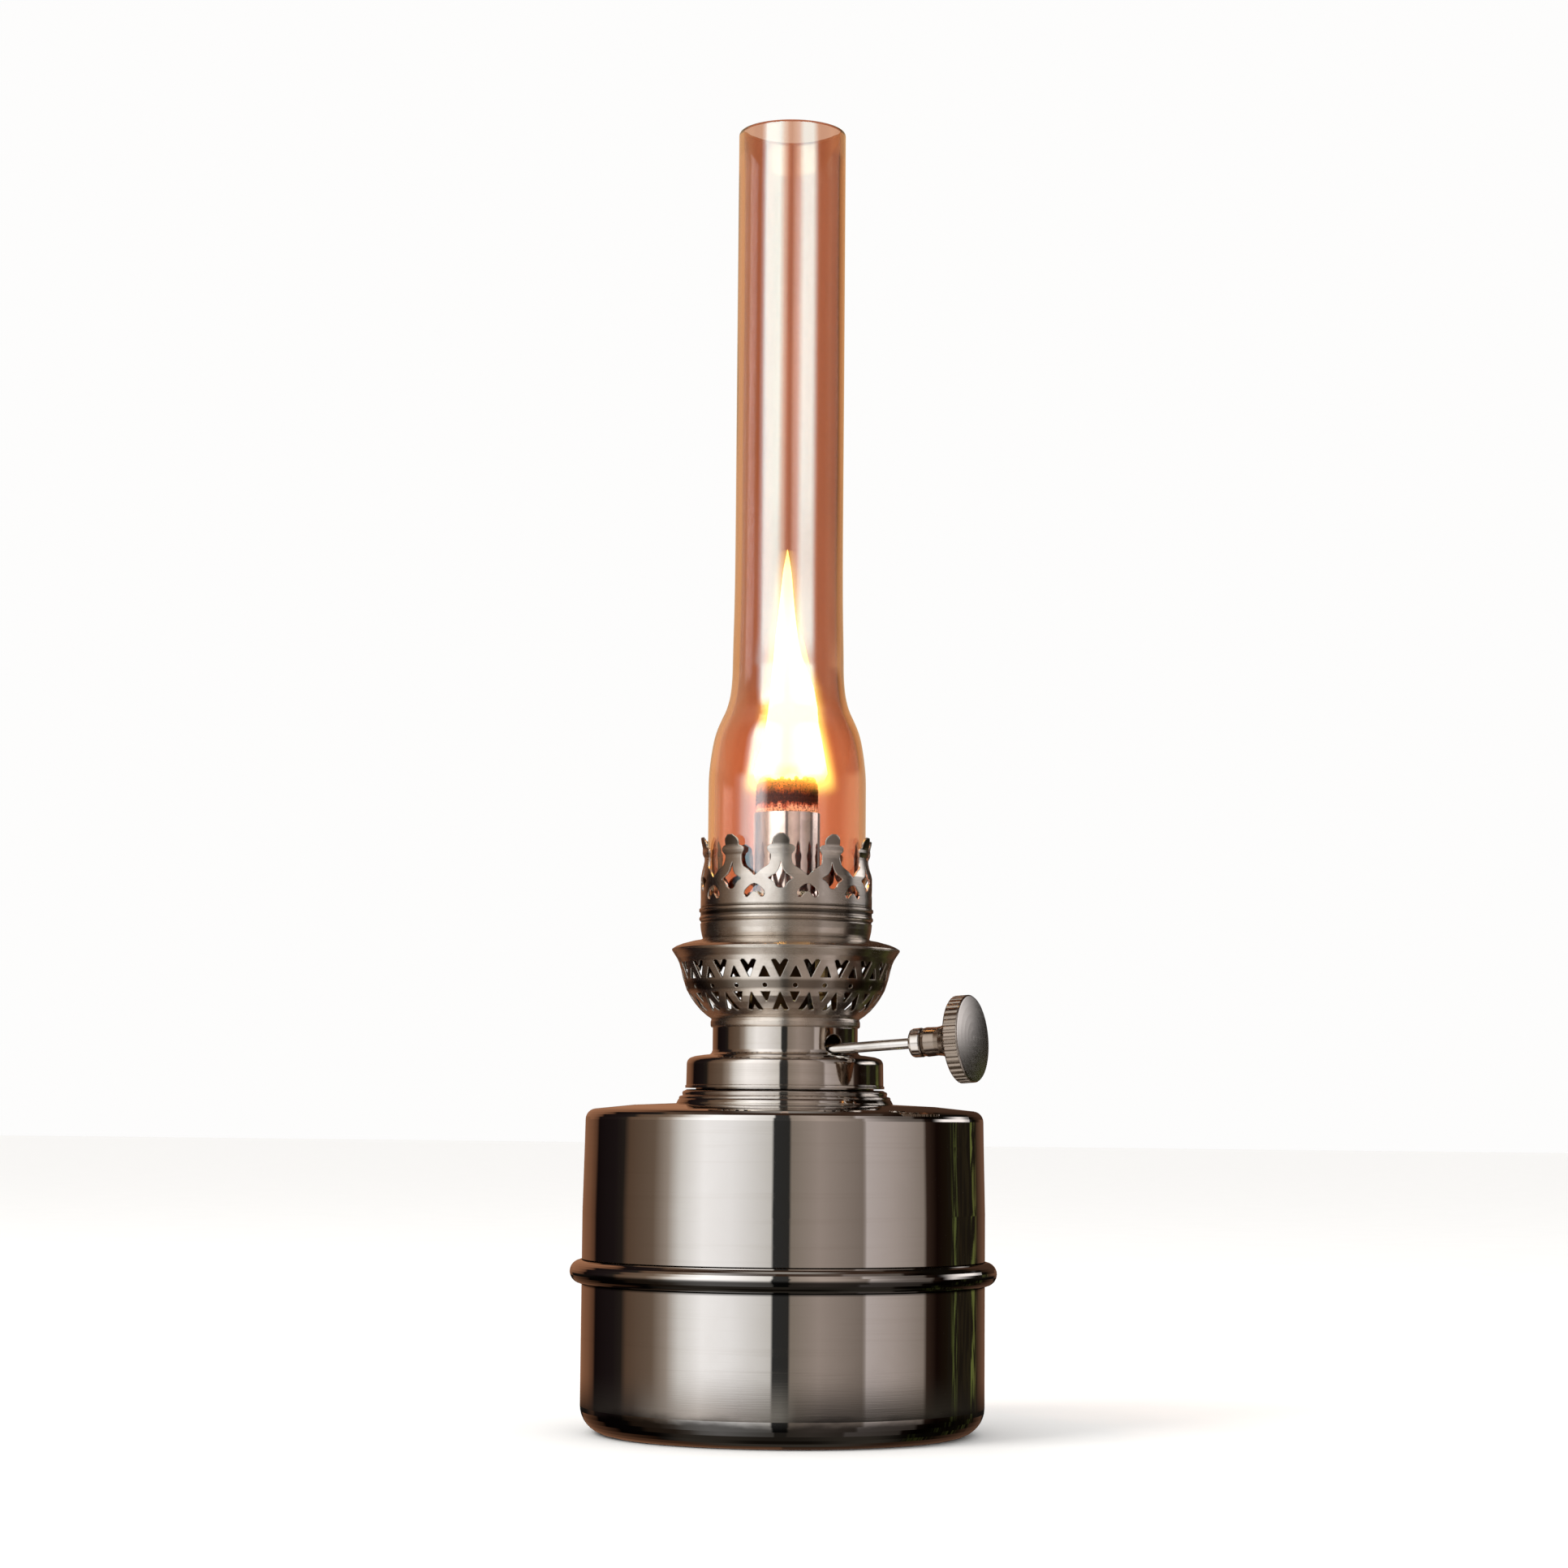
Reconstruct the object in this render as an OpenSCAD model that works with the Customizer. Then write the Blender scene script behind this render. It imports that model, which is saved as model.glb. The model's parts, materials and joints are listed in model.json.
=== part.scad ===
// Round-wick oil lamp: drop-in font with a screw-in burner, rack-and-pinion wick
// raiser, perforated air basket, fretwork gallery and a shouldered glass chimney.
// Origin: centre of the font's base. +Z up, +X along the wick spindle. Millimetres.

/* [Font] */
// Outer radius of the fuel font
font_r = 48; // [46:0.5:50]
// Height of the font's shoulder, where the domed top begins
shoulder_z = 76.4; // [75.5:0.1:77]
// Radius of the font's rounded bottom edge
foot_r = 6.5; // [4:0.5:8]
// Height of the support bead's centre line
bead_z = 37.9; // [34:0.1:42]
// Section radius of the support bead
bead_r = 2.75; // [2.4:0.05:3]
// Sheet thickness of the font
font_t = 0.7; // [0.6:0.1:1]

/* [Burner] */
// Outer radius of the screw cap that covers the font's collar
cap_r = 23.55; // [23.3:0.05:23.8]
// Outer radius of the burner's neck
neck_r = 17.4; // [17.2:0.05:17.8]
// Largest radius of the air basket's lip
lip_r = 27.4; // [27:0.1:28]
// Number of pierced motifs round the air basket
motifs = 21; // [14:1:22]
// Number of prongs round the gallery
prongs = 10; // [8:1:11]
// Sheet thickness of the burner's stampings
sheet = 0.5; // [0.4:0.05:0.6]
// Lead of the screw thread
thread_lead = 2.5; // [2.4:0.1:2.6]

/* [Wick] */
// Outer radius of the outer wick tube
tube_r = 8.05; // [8:0.05:8.2]
// Height of the wick tube's top
tube_top = 147.5; // [145:0.5:149]
// Height of the wick's top as set
wick_top = 154.6; // [151:0.1:156]

/* [Knob] */
// Distance of the spindle's axis in front of the lamp's axis
spindle_y = 7; // [6.9:0.1:7.2]
// Upward tilt of the spindle, in degrees
tilt = 4; // [3:0.5:5]
// Radius of the knob
knob_r = 10.2; // [9:0.1:11]
// Number of flutes round the knob
flutes = 40; // [24:1:48]

/* [Chimney] */
// Outer radius of the chimney's base
glass_r = 19; // [18.5:0.1:19.1]
// Outer radius of the chimney's tube at its top
flue_r = 13.1; // [12:0.1:14]
// Overall length of the chimney
glass_len = 190; // [170:1:220]
// Thickness of the glass
glass_t = 1.5; // [1.2:0.1:2]

/* [Hidden] */
$fn = 96;
e = 0.01;              // smallest step that keeps two faces apart
run = 0.05;            // radial clearance of a running fit
flange_h = 0.6;        // thickness of each shell's seam flange, inside the bead
flange_r = font_r + 1.9;
groove = 0.6;          // depth of the groove that the bead is rolled into
groove_low = bead_z - bead_r - 0.25;
groove_high = bead_z + bead_r + 0.25;

// Heights of the stack, from the font's top upwards
dome_z = 78;           // top of the domed plate at the collar
collar_foot_r = 25.95;
collar_top = 87.2;
collar_in = 20.3;      // bore of the font's collar
cap_bottom = 81.5;
washer_t = 1;
neck_bottom = 90.5;
neck_top = 95.9;
basket_bottom = 95.9;
lip_z = 114.4;
motif_turn = -0.1;      // turn of the pierced motifs from +X
prong_turn = 2.7;      // turn of the prongs from +X
gallery_bottom = 117.1;
seat_z = 125.5;        // face that the chimney stands on
band_top = 124.9;
prong_top = 141.2;

// Screw thread between the collar and the burner's sleeve
sleeve_r = 19.3;
ridge = 0.75;          // height of each thread ridge
ridge_w = 0.9;         // axial width of each ridge at its root
thread_turns = 1.6;
collar_thread_z = 82.6;
sleeve_thread_z = 81.35;

// Wick raiser
gear_module = 0.8;
gear_teeth = 8;
gear_r = gear_module * gear_teeth / 2;   // pitch radius
gear_x = 10.3;         // middle of the pinion, along X
gear_w = 3;            // width of the pinion along its axis
gear_z = 90.3;         // height of the pinion's middle
backlash = 0.24;       // how much thinner each tooth is than half the pitch
rod_r = 1.25;
tooth_pitch = PI * gear_module;
rack_w = 2.6;
rack_low = 85.6;
rack_high = 117;
arm_y = -2.4;          // middle of the arm between the rack and the carrier
arm_w = 1.2;
arm_low = 112.5;
arm_high = 116.5;
carrier_low = 111.5;
carrier_high = 117.5;
travel_up = 2;
travel_down = 14;

// Wick and tubes
tube_t = 0.4;
wick_r = 7.3;
wick_in = 5.1;
clasp_r = 7;           // radius of the wick where the carrier clasps it
draught_r = 4.8;       // outer radius of the inner draught tube
wick_bottom = 17;
slit_w = 8.4;          // width of the wick's slit, which straddles the air duct
slit_top = 121.5;
duct_z = 103;
duct_r = 3.4;
floor_z = 84.4;
floor_t = 0.7;

// ---------- helpers ----------

// Points of an arc about [cx, cy] from angle a0 to a1, ends included.
function arc(cx, cy, r, a0, a1, n = 8) =
    [for (i = [0:n]) let (a = a0 + (a1 - a0) * i / n) [cx + r * cos(a), cy + r * sin(a)]];

function unit(v) = v / max(norm(v), 1e-9);

// Left-hand normal of a path at point i, averaged over its two segments.
function path_normal(p, i) =
    let (last = len(p) - 1,
         before = unit(p[max(i, 1)] - p[max(i, 1) - 1]),
         after = unit(p[min(i, last - 1) + 1] - p[min(i, last - 1)]),
         mean = unit(before + after),
         stretch = 1 / max(0.5, mean * after))
    [-mean[1], mean[0]] * stretch;

// A path moved sideways by t, to the left of its direction.
function beside(p, t) = [for (i = [0:len(p) - 1]) p[i] + t * path_normal(p, i)];

function reversed(p) = [for (i = [len(p) - 1:-1:0]) p[i]];

// The other half of a symmetrical outline, so that both halves run round it one way.
function mirrored(p) = [for (q = reversed(p)) [-q[0], q[1]]];

// Sheet metal or glass of thickness t, turned about Z from the path of its outer face.
// The path runs upwards, so the thickness grows to the left, towards the axis.
module lathe_sheet(path, t) {
    rotate_extrude() polygon(sheet_outline(path, t));
}

function sheet_outline(path, t) = concat(path, reversed(beside(path, t)));

module tube(r_out, r_in, z0, z1) {
    rotate_extrude() translate([r_in, z0]) square([r_out - r_in, z1 - z0]);
}

// Repeats its children n times round Z, starting at angle a0.
module around(n, a0 = 0) {
    for (i = [0:n - 1]) rotate(a0 + i * 360 / n) children();
}

// Cuts its child outline through a wall at radius r and height z, along the wall's normal,
// which dips by lean degrees. The outline's X runs round the lamp and its Y runs up.
module pierce(r, z, lean = 0, depth = 5) {
    translate([r, 0, z]) rotate([0, lean, 0]) translate([-depth / 2, 0, 0])
        rotate([90, 0, 90]) linear_extrude(depth) children();
}

// Places its children on the spindle's axis, with their Z along it and s = 0 at the lamp's axis.
module on_spindle(s = 0) {
    translate([gear_x, -spindle_y, gear_z]) rotate([0, 90 - tilt, 0])
        translate([0, 0, s - gear_x]) children();
}

// Ring of a helical ridge, as one closed solid. root_r lies inside the wall that carries it.
module helix(root_r, tip_r, z0, turns) {
    steps = round(60 * turns);
    taper = 10;                      // steps over which each end runs out
    section = function (i)
        let (a = 360 * turns * i / steps,
             grow = min(1, (i + 0.4) / taper, (steps - i + 0.4) / taper),
             tip = root_r + (tip_r - root_r) * grow,
             z = z0 + thread_lead * turns * i / steps,
             w = ridge_w / 2)
        [for (q = [[root_r, -w], [tip, -w * 0.55], [tip, w * 0.55], [root_r, w]])
            [q[0] * cos(a), q[0] * sin(a), z + q[1]]];
    points = [for (i = [0:steps]) each section(i)];
    inward = tip_r < root_r;
    sides = [for (i = [0:steps - 1], k = [0:3])
        let (a = 4 * i + k, b = 4 * i + (k + 1) % 4) [a, b, b + 4, a + 4]];
    ends = [[3, 2, 1, 0], [for (k = [0:3]) 4 * steps + k]];
    quads = concat(sides, ends);
    faces = [for (f = quads) each [[f[0], f[1], f[2]], [f[0], f[2], f[3]]]];
    polyhedron(points, [for (f = faces) inward ? reversed(f) : f]);
}

// ---------- font ----------

// Outer face of the lower shell, from the middle of its base up to the seam flange.
function lower_path() = concat(
    [[0, 0], [30, 0], [31, 0.9], [35, 0.9], [36, 0], [font_r - foot_r, 0]],
    arc(font_r - foot_r, foot_r, foot_r, -80, 0, 8));

module font_lower_shell() color([0.72, 0.7, 0.67]) {
    path = lower_path();
    rotate_extrude() polygon(concat(
        path,
        [[font_r, groove_low], [font_r - groove, groove_low + groove],
         [font_r - groove, bead_z - flange_h], [flange_r, bead_z - flange_h],
         [flange_r, bead_z], [font_r - groove - font_t, bead_z],
         [font_r - groove - font_t, groove_low + groove], [font_r - font_t, groove_low - 0.2]],
        reversed(beside(path, font_t))));
}

// Outer face of the upper shell, from the groove above the bead to the collar.
function upper_path() = concat(
    [[font_r, groove_high], [font_r, 52], [font_r - 0.35, 68]],
    arc(font_r - 0.45 - 2.6, shoulder_z - 2.6, 2.6, 0, 84, 6),
    [[36, shoulder_z + 0.95], [collar_in + 1, dome_z]]);

module font_upper_shell() color([0.74, 0.72, 0.69]) {
    path = upper_path();
    inner = beside(path, font_t);
    rotate_extrude() polygon(concat(
        [[flange_r, bead_z], [flange_r, bead_z + flange_h], [font_r - groove, bead_z + flange_h],
         [font_r - groove, groove_high - groove]],
        path,
        [[collar_in + 1, dome_z - font_t]],
        [for (i = [len(path) - 2:-1:1]) inner[i]],
        [[font_r - font_t, groove_high + 0.2], [font_r - groove - font_t, groove_high - groove],
         [font_r - groove - font_t, bead_z]]));
}

// Half-round ring that closes the seam and rests on a lamp holder's ring.
module support_bead() color([0.62, 0.6, 0.58])
    rotate_extrude() difference() {
        polygon(concat([[font_r - groove, bead_z - bead_r + groove]],
                       arc(font_r + 0.1, bead_z, bead_r, -90, 90, 14),
                       [[font_r - groove, bead_z + bead_r - groove]]));
        translate([font_r - 2, bead_z - flange_h]) square([flange_r - font_r + 2, 2 * flange_h]);
    }

// Turned collar: a stepped foot soldered on the dome, and a threaded upstand.
module font_collar() color([0.7, 0.67, 0.63]) {
    rotate_extrude() polygon(concat(
        [[collar_in, dome_z - 2], [collar_in + 1, dome_z - 2], [collar_in + 1, dome_z],
         [collar_foot_r, dome_z - 0.2]],
        [[collar_foot_r - 0.35, dome_z + 0.55]],
        arc(collar_foot_r - 1.1, dome_z + 1.1, 0.5, -20, 90, 4),
        [[collar_foot_r - 1.5, dome_z + 1.7]],
        arc(collar_foot_r - 1.9, dome_z + 2.3, 0.5, -10, 90, 4),
        [[collar_foot_r - 2.4, dome_z + 3.1], [collar_in + 1, dome_z + 3.1],
         [collar_in + 1, collar_top], [collar_in, collar_top]]));
    helix(collar_in + 0.4, collar_in - ridge, collar_thread_z, thread_turns);
}

module sealing_washer() color([0.55, 0.4, 0.26])
    tube(21.9, 19.7, collar_top, collar_top + washer_t);

// ---------- burner ----------

// Cap and neck, stamped as one: from the cap's skirt up over its shoulder to the neck.
function base_path() = concat(
    [[cap_r + 0.1, cap_bottom]],
    arc(cap_r - 1.7, 87.2, 1.7, 0, 60, 5),
    [[21.6, 89.05], [19.6, 89.35], [18.1, 89.5], [17.65, 89.85]],
    [[neck_r, neck_bottom], [neck_r, neck_top]]);

module burner_base() color([0.73, 0.7, 0.66]) difference() {
    union() {
        lathe_sheet(base_path(), sheet);
        tube(cap_r + 0.3, cap_r, cap_bottom, cap_bottom + 0.6);
    }
    // hole that the spindle leaves by
    translate([12, -spindle_y, 91.7]) rotate([0, 90, 0]) cylinder(r = 2.5, h = 6.2);
}

// Male thread under the cap, which also carries the burner's floor.
module screw_sleeve() color([0.78, 0.65, 0.38]) {
    tube(sleeve_r, sleeve_r - 0.7, 79.6, 88.9);
    helix(sleeve_r - 0.4, sleeve_r + ridge, sleeve_thread_z, thread_turns);
}

module burner_floor() color([0.78, 0.65, 0.38]) difference() {
    tube(sleeve_r - 0.7, tube_r, floor_z, floor_z + floor_t);
    translate([gear_x - 2, arm_y - 3, floor_z - 1]) cube([4, 4.8, 3]);
}

// U-shaped bracket with the spindle's two bearings, one each side of the pinion.
module spindle_bracket() color([0.8, 0.68, 0.42]) difference() {
    union() {
        for (s = [gear_x - gear_w / 2 - 1.5, gear_x + gear_w / 2 + 0.4])
            on_spindle(s) {
                cylinder(r = 2.6, h = 0.8);
                translate([0, -2.6, 0]) cube([5.6, 5.2, 0.8]);
            }
        translate([gear_x - gear_w / 2 - 1, -spindle_y - 2.6, floor_z + floor_t])
            cube([gear_w + 3, 1.6, 0.8]);
    }
    on_spindle(0) cylinder(r = rod_r + run, h = 24);
    translate([0, -10, floor_z - 4.3 + floor_t]) cube([24, 14, 4.3]);
}

module outer_wick_tube() color([0.75, 0.73, 0.7]) difference() {
    tube(tube_r, tube_r - tube_t, 80.5, tube_top);
    // slot for the carrier's arm
    translate([3, arm_y - arm_w / 2 - 0.3, arm_low - travel_down - 0.6])
        cube([8, arm_w + 0.6, arm_high - arm_low + travel_down + travel_up + 1.2]);
    // air port
    translate([-4, 0, duct_z]) rotate([0, -90, 0]) cylinder(r = duct_r, h = 8);
}

// Inner tube that leads air to the middle of the flame, closed at its foot.
module draught_tube() color([0.75, 0.65, 0.45]) difference() {
    rotate_extrude() difference() {
        translate([0, 98.2]) square([draught_r, tube_top - 0.4 - 98.2]);
        translate([-1, 98.8]) square([draught_r - tube_t + 1, tube_top]);
    }
    translate([0, 0, duct_z]) rotate([0, -90, 0]) cylinder(r = duct_r - tube_t, h = 8);
}

// Short side duct that bridges the wick space and lets air into the draught tube.
module air_duct() color([0.75, 0.65, 0.45]) difference() {
    translate([0, 0, duct_z]) rotate([0, -90, 0]) difference() {
        cylinder(r = duct_r, h = tube_r + 0.8);
        translate([0, 0, -1]) cylinder(r = duct_r - tube_t, h = tube_r + 3);
    }
    translate([0, 0, duct_z - 5]) cylinder(r = draught_r, h = 10);
    translate([0, -10, duct_z - 10]) cube(20);
}

// Outer face of the bowl, from its foot bead to the underside of the lip.
function basket_path() = concat(
    [[neck_r, basket_bottom], [17.8, 96.05], [17.95, 96.4], [17.95, 97.3], [17.8, 97.7], [17.75, 97.95]],
    [[18, 98.2], [18.9, 98.8], [20.4, 100.1], [21.6, 101.5], [22.6, 102.9], [23.35, 104.2],
     [23.75, 104.9], [24.1, 105.9], [24.65, 107.6], [25.15, 109.7], [25.6, 111.3], [26.1, 112.4],
     [lip_r - 0.1, lip_z - 0.15]]);

// Chevron with a notched top, and the small triangle between two chevrons.
module chevron(w, h) {
    side = [[w / 2, h / 2 - 0.35], [w / 2 - 0.45, h / 2], [w / 2 - 1.1, h / 2 - 0.1]];
    polygon(concat([[0.15, -h / 2]], side, [[0, h * 0.18]], mirrored(side), [[-0.15, -h / 2]]));
}
module triangle(w, h)
    polygon([[-w / 2, -h / 2], [w / 2, -h / 2], [0.2, h / 2], [-0.2, h / 2]]);

module air_basket() color([0.6, 0.56, 0.5]) difference() {
    rotate_extrude() intersection() {
        polygon(sheet_outline(basket_path(), sheet));
        square([lip_r, lip_z - 0.15]);
    }
    around(motifs, motif_turn) {
        pierce(25, 109.35, 12) chevron(4, 4.3);
        pierce(21.4, 101.7, 39) mirror([0, 1]) chevron(3.8, 5.2);
    }
    around(motifs, motif_turn + 180 / motifs) {
        pierce(24.8, 108.5, 12) triangle(2.8, 2.6);
        pierce(22.3, 102.9, 38) mirror([0, 1]) triangle(2.4, 2.6);
        pierce(23.8, 105.4, 20) circle(r = 0.55, $fn = 16);
    }
}

// Cover from the basket's lip in to the collar that carries the gallery.
module basket_cover() color([0.62, 0.58, 0.52])
    rotate_extrude() polygon([
        [lip_r - 0.1, lip_z - 0.15], [lip_r, lip_z], [lip_r - 0.05, lip_z + 0.3],
        [26.4, 115.3], [25, 115.85], [22.6, 116.5], [20.6, 116.85], [20.2, gallery_bottom],
        [19.5, gallery_bottom], [19.5, 116.5], [22.4, 116], [24.8, 115.35], [26, 114.85], [26.6, lip_z],
        [26.6, lip_z - 0.15]]);

// Pierced plate: the chimney stands on its rim, the wick tube passes through it.
module gallery_floor() color([0.7, 0.68, 0.64]) difference() {
    union() {
        tube(20.62 - sheet, tube_r, seat_z - 0.6, seat_z);
        tube(19.9, 19.4, seat_z - 4, seat_z - 0.6);
        tube(tube_r + 0.5, tube_r, seat_z, seat_z + 2);
    }
    around(24) translate([15.6, 0, seat_z - 2]) cylinder(r = 1.1, h = 4);
    around(18) translate([12, 0, seat_z - 2]) cylinder(r = 1.1, h = 4);
}

// Outer face of the band that holds the coronet, with its rolled bead and grooves.
function band_path() = concat(
    [[20, gallery_bottom], [20.25, 118], [20.5, 119.2], [20.65, 120.7], [20.45, 121.05]],
    arc(20.35, 121.95, 0.6, -60, 60, 4),
    [[20.62, 122.75], [20.62, 123.45], [20.95, 123.7], [20.95, 124.3], [20.62, 124.5],
     [20.62, band_top]]);

// Outer face of the coronet: its prongs lean in to the glass and flare out at their tips.
function coronet_path() = [
    [20.62, band_top], [20.62, 131.75], [20.3, 133.7], [19.9, 135.7], [19.9, 136.5],
    [20.15, 137.05], [20.3, 137.6], [20.3, 138.35], [20.6, 139.7], [21.05, prong_top]];

// Half outline of the notch between two prongs: distance from the notch's middle line, height.
function notch_side() = [
    [0.15, 131.4], [0.7, 131.9], [1.5, 132.6], [2.3, 133.15], [3.1, 133.6], [3.55, 134.2], [3.75, 135.1],
    [3.75, 136.3], [3.35, 136.9], [3.05, 137.4], [3.05, 138.1], [3.6, 138.5], [4.35, 138.75],
    [4.35, 139.6], [4.65, 140.3], [5.2, 140.8], [6.2, prong_top + 0.3]];

module notch() {
    side = notch_side();
    polygon(concat(side, mirrored(side)));
}

module star()
    polygon([[0, 4], [0.25, 2.9], [0.6, 1.9], [1.15, 1.1], [2, 0.6], [2.85, 0.1], [2.85, -0.15],
             [2, -0.6], [1.45, -1.2], [1.15, -1.9], [0.5, -2.35], [-0.5, -2.35], [-1.15, -1.9],
             [-1.45, -1.2], [-2, -0.6], [-2.85, -0.15], [-2.85, 0.1], [-2, 0.6], [-1.15, 1.1],
             [-0.6, 1.9], [-0.25, 2.9]]);

module heart()
    polygon([[0, 1.7], [0.9, 1.4], [1.7, 0.8], [2.5, 0], [2.7, -0.8], [2.3, -1.5], [1.7, -1.6],
             [1.1, -1], [0.5, -0.4], [0, -0.25], [-0.5, -0.4], [-1.1, -1], [-1.7, -1.6],
             [-2.3, -1.5], [-2.7, -0.8], [-2.5, 0], [-1.7, 0.8], [-0.9, 1.4]]);

module gallery_band() color([0.66, 0.63, 0.58]) lathe_sheet(band_path(), sheet);

module coronet() color([0.68, 0.66, 0.62]) difference() {
    lathe_sheet(coronet_path(), sheet);
    around(prongs, prong_turn + 180 / prongs) {
        pierce(21, 0, 0, 8) notch();
        pierce(21, 127.8) heart();
    }
    around(prongs, prong_turn) pierce(21, 130.7) star();
}

// ---------- wick raiser ----------

module slit(z0, z1) translate([-20, -slit_w / 2, z0]) cube([20, slit_w, z1 - z0]);

// Woven wick: whole at the top, slit below to pass the air duct.
module wick() color([0.86, 0.82, 0.74]) difference() {
    tube(wick_r, wick_in, wick_bottom, wick_top);
    tube(wick_r + 1, clasp_r, carrier_low, carrier_high);
    slit(wick_bottom - 1, slit_top);
    claws();
}

// Claws that hold the carrier to the wick.
module claws()
    for (a = [-110, -65, -25, 25, 65, 110], z = [carrier_low + 1.5, carrier_high - 1.5])
        rotate(a) translate([clasp_r - 0.7, 0, z]) rotate([0, 90, 0]) cylinder(r = 0.3, h = 0.9, $fn = 16);

module wick_carrier() color([0.8, 0.68, 0.42]) {
    difference() {
        tube(wick_r + 0.05, clasp_r, carrier_low, carrier_high);
        slit(carrier_low - 1, carrier_high + 1);
    }
    difference() {
        translate([clasp_r - 1, arm_y - arm_w / 2, arm_low])
            cube([gear_x - rack_w / 2 - clasp_r + 1, arm_w, arm_high - arm_low]);
        cylinder(r = clasp_r, h = 2 * arm_high);
    }
    claws();
}

// Teeth face -Y. Their flanks lean with the spindle, so that the tilted pinion meshes.
module wick_rack() color([0.82, 0.7, 0.45]) {
    pitch_y = gear_r - spindle_y;
    root_y = pitch_y + 1.05 * gear_module;
    translate([gear_x - rack_w / 2, root_y, rack_low])
        cube([rack_w, 1.6, rack_high - rack_low]);
    half = tooth_pitch / 4 - backlash / 2;
    reach = 0.88 * gear_module;
    first = -2;
    last = 6;
    intersection() {
        for (i = [first:last]) translate([gear_x, 0, gear_z + (i + 0.5) * tooth_pitch / cos(tilt)])
            rotate([0, -tilt, 0]) rotate([90, 0, 90]) translate([0, 0, -rack_w])
                linear_extrude(2 * rack_w) polygon([
                    [pitch_y - reach, -half + 0.33 * reach], [pitch_y - reach, half - 0.33 * reach],
                    [root_y + 0.2, half + 0.36 * gear_module], [root_y + 0.2, -half - 0.36 * gear_module]]);
        translate([gear_x - rack_w / 2, pitch_y - 2, rack_low]) cube([rack_w, 6, rack_high - rack_low]);
    }
}

// Spur pinion with straight-sided teeth, cut from its tip circle.
module pinion() color([0.8, 0.68, 0.42]) on_spindle(gear_x - gear_w / 2) difference() {
    cylinder(r = gear_r + 0.85 * gear_module, h = gear_w);
    translate([0, 0, -1]) cylinder(r = rod_r, h = gear_w + 2);
    half = tooth_pitch / 4 + backlash / 2;
    side = [[gear_r - 1.05 * gear_module, half - 0.45], [gear_r, half],
            [gear_r + 0.5 * gear_module, half + 0.28], [gear_r + 1.4 * gear_module, half + 0.75]];
    around(gear_teeth, 90 + 180 / gear_teeth) translate([0, 0, -1]) linear_extrude(gear_w + 2)
        polygon(concat(side, [for (p = reversed(side)) [p[0], -p[1]]]));
}

module spindle() color([0.78, 0.77, 0.75])
    on_spindle(gear_x - gear_w / 2 - 1.6) cylinder(r = rod_r, h = 47 - gear_x + gear_w / 2 + 1.6);

module knob_ferrule() color([0.8, 0.79, 0.77]) on_spindle(35.9) rotate_extrude()
    polygon([[rod_r, 0], [2.8, 0], [3.2, 0.25], [3.4, 0.7], [3.45, 2.6], [3.3, 2.95], [rod_r, 2.95]]);

module knob() color([0.75, 0.74, 0.73]) on_spindle(0) difference() {
    rotate_extrude() polygon(concat(
        [[rod_r, 38.85], [2.9, 38.85], [3.25, 39.1], [3.45, 39.9], [3.4, 41.2], [3.35, 42.4], [3.5, 43.6],
         [4, 44.7], [5.2, 45.8], [7, 46.7], [8.8, 47.2], [knob_r - 0.4, 47.45], [knob_r, 47.8],
         [knob_r, 50.85], [knob_r - 0.25, 51.15]],
        [for (i = [0:5]) let (r = (knob_r - 0.5) * (1 - i / 5)) [r, 51.5 - 0.35 * pow(r / knob_r, 2)]],
        [[0, 47], [rod_r, 47]]));
    around(flutes) translate([knob_r + 0.18, 0, 45.7]) cylinder(r = 0.48, h = 5.1, $fn = 20);
}

// ---------- chimney ----------

// Outer face of the glass, from its foot up over the shoulder to the fire-polished rim.
function glass_path() =
    let (top = seat_z + glass_len, waist = flue_r + 0.4)
    concat(
        [[glass_r - 0.35, seat_z], [glass_r, seat_z + 0.5], [glass_r, 150], [glass_r - 0.25, 156]],
        [[glass_r - 0.5, 160], [glass_r - 0.9, 163.4], [glass_r - 1.4, 165.8], [glass_r - 2.1, 168],
         [glass_r - 3.05, 170.2], [glass_r - 4.05, 172.4], [glass_r - 4.75, 174.7], [glass_r - 5.2, 177.2],
         [waist, 181], [waist - 0.1, 187], [flue_r, 207], [flue_r, top - 0.8]],
        arc(flue_r - glass_t / 2, top - glass_t / 2, glass_t / 2 - e, 10, 90, 4));

module chimney() color([0.85, 0.55, 0.38, 0.45])
    lathe_sheet(glass_path(), glass_t);

// ---------- nodes ----------

font_lower_shell();
font_upper_shell();
support_bead();
font_collar();
sealing_washer();
burner_base();
screw_sleeve();
burner_floor();
spindle_bracket();
outer_wick_tube();
draught_tube();
air_duct();
air_basket();
basket_cover();
gallery_floor();
gallery_band();
coronet();
wick();
wick_carrier();
wick_rack();
spindle();
pinion();
knob_ferrule();
knob();
chimney();
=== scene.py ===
"""Looks of a round-wick oil lamp: nickel-plated font and burner, woven wick, flame and glass chimney.

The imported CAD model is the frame. This script gives its nodes their materials, replaces the plain
chimney with a finer mesh, adds the wick's braid and the flame, and sets up the floor, the light and
the camera.
"""

import json
import math

import bmesh
import bpy
import numpy as np
from mathutils import Matrix, Vector


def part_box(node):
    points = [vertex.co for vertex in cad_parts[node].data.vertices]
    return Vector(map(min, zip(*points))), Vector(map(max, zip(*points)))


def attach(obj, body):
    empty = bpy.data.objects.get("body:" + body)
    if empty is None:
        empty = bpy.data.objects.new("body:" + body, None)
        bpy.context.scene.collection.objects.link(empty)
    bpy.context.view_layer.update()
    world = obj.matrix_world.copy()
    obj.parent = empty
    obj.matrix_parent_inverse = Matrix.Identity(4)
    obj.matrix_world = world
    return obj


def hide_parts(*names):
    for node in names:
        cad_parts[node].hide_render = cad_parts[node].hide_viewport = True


MM = 0.001

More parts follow.
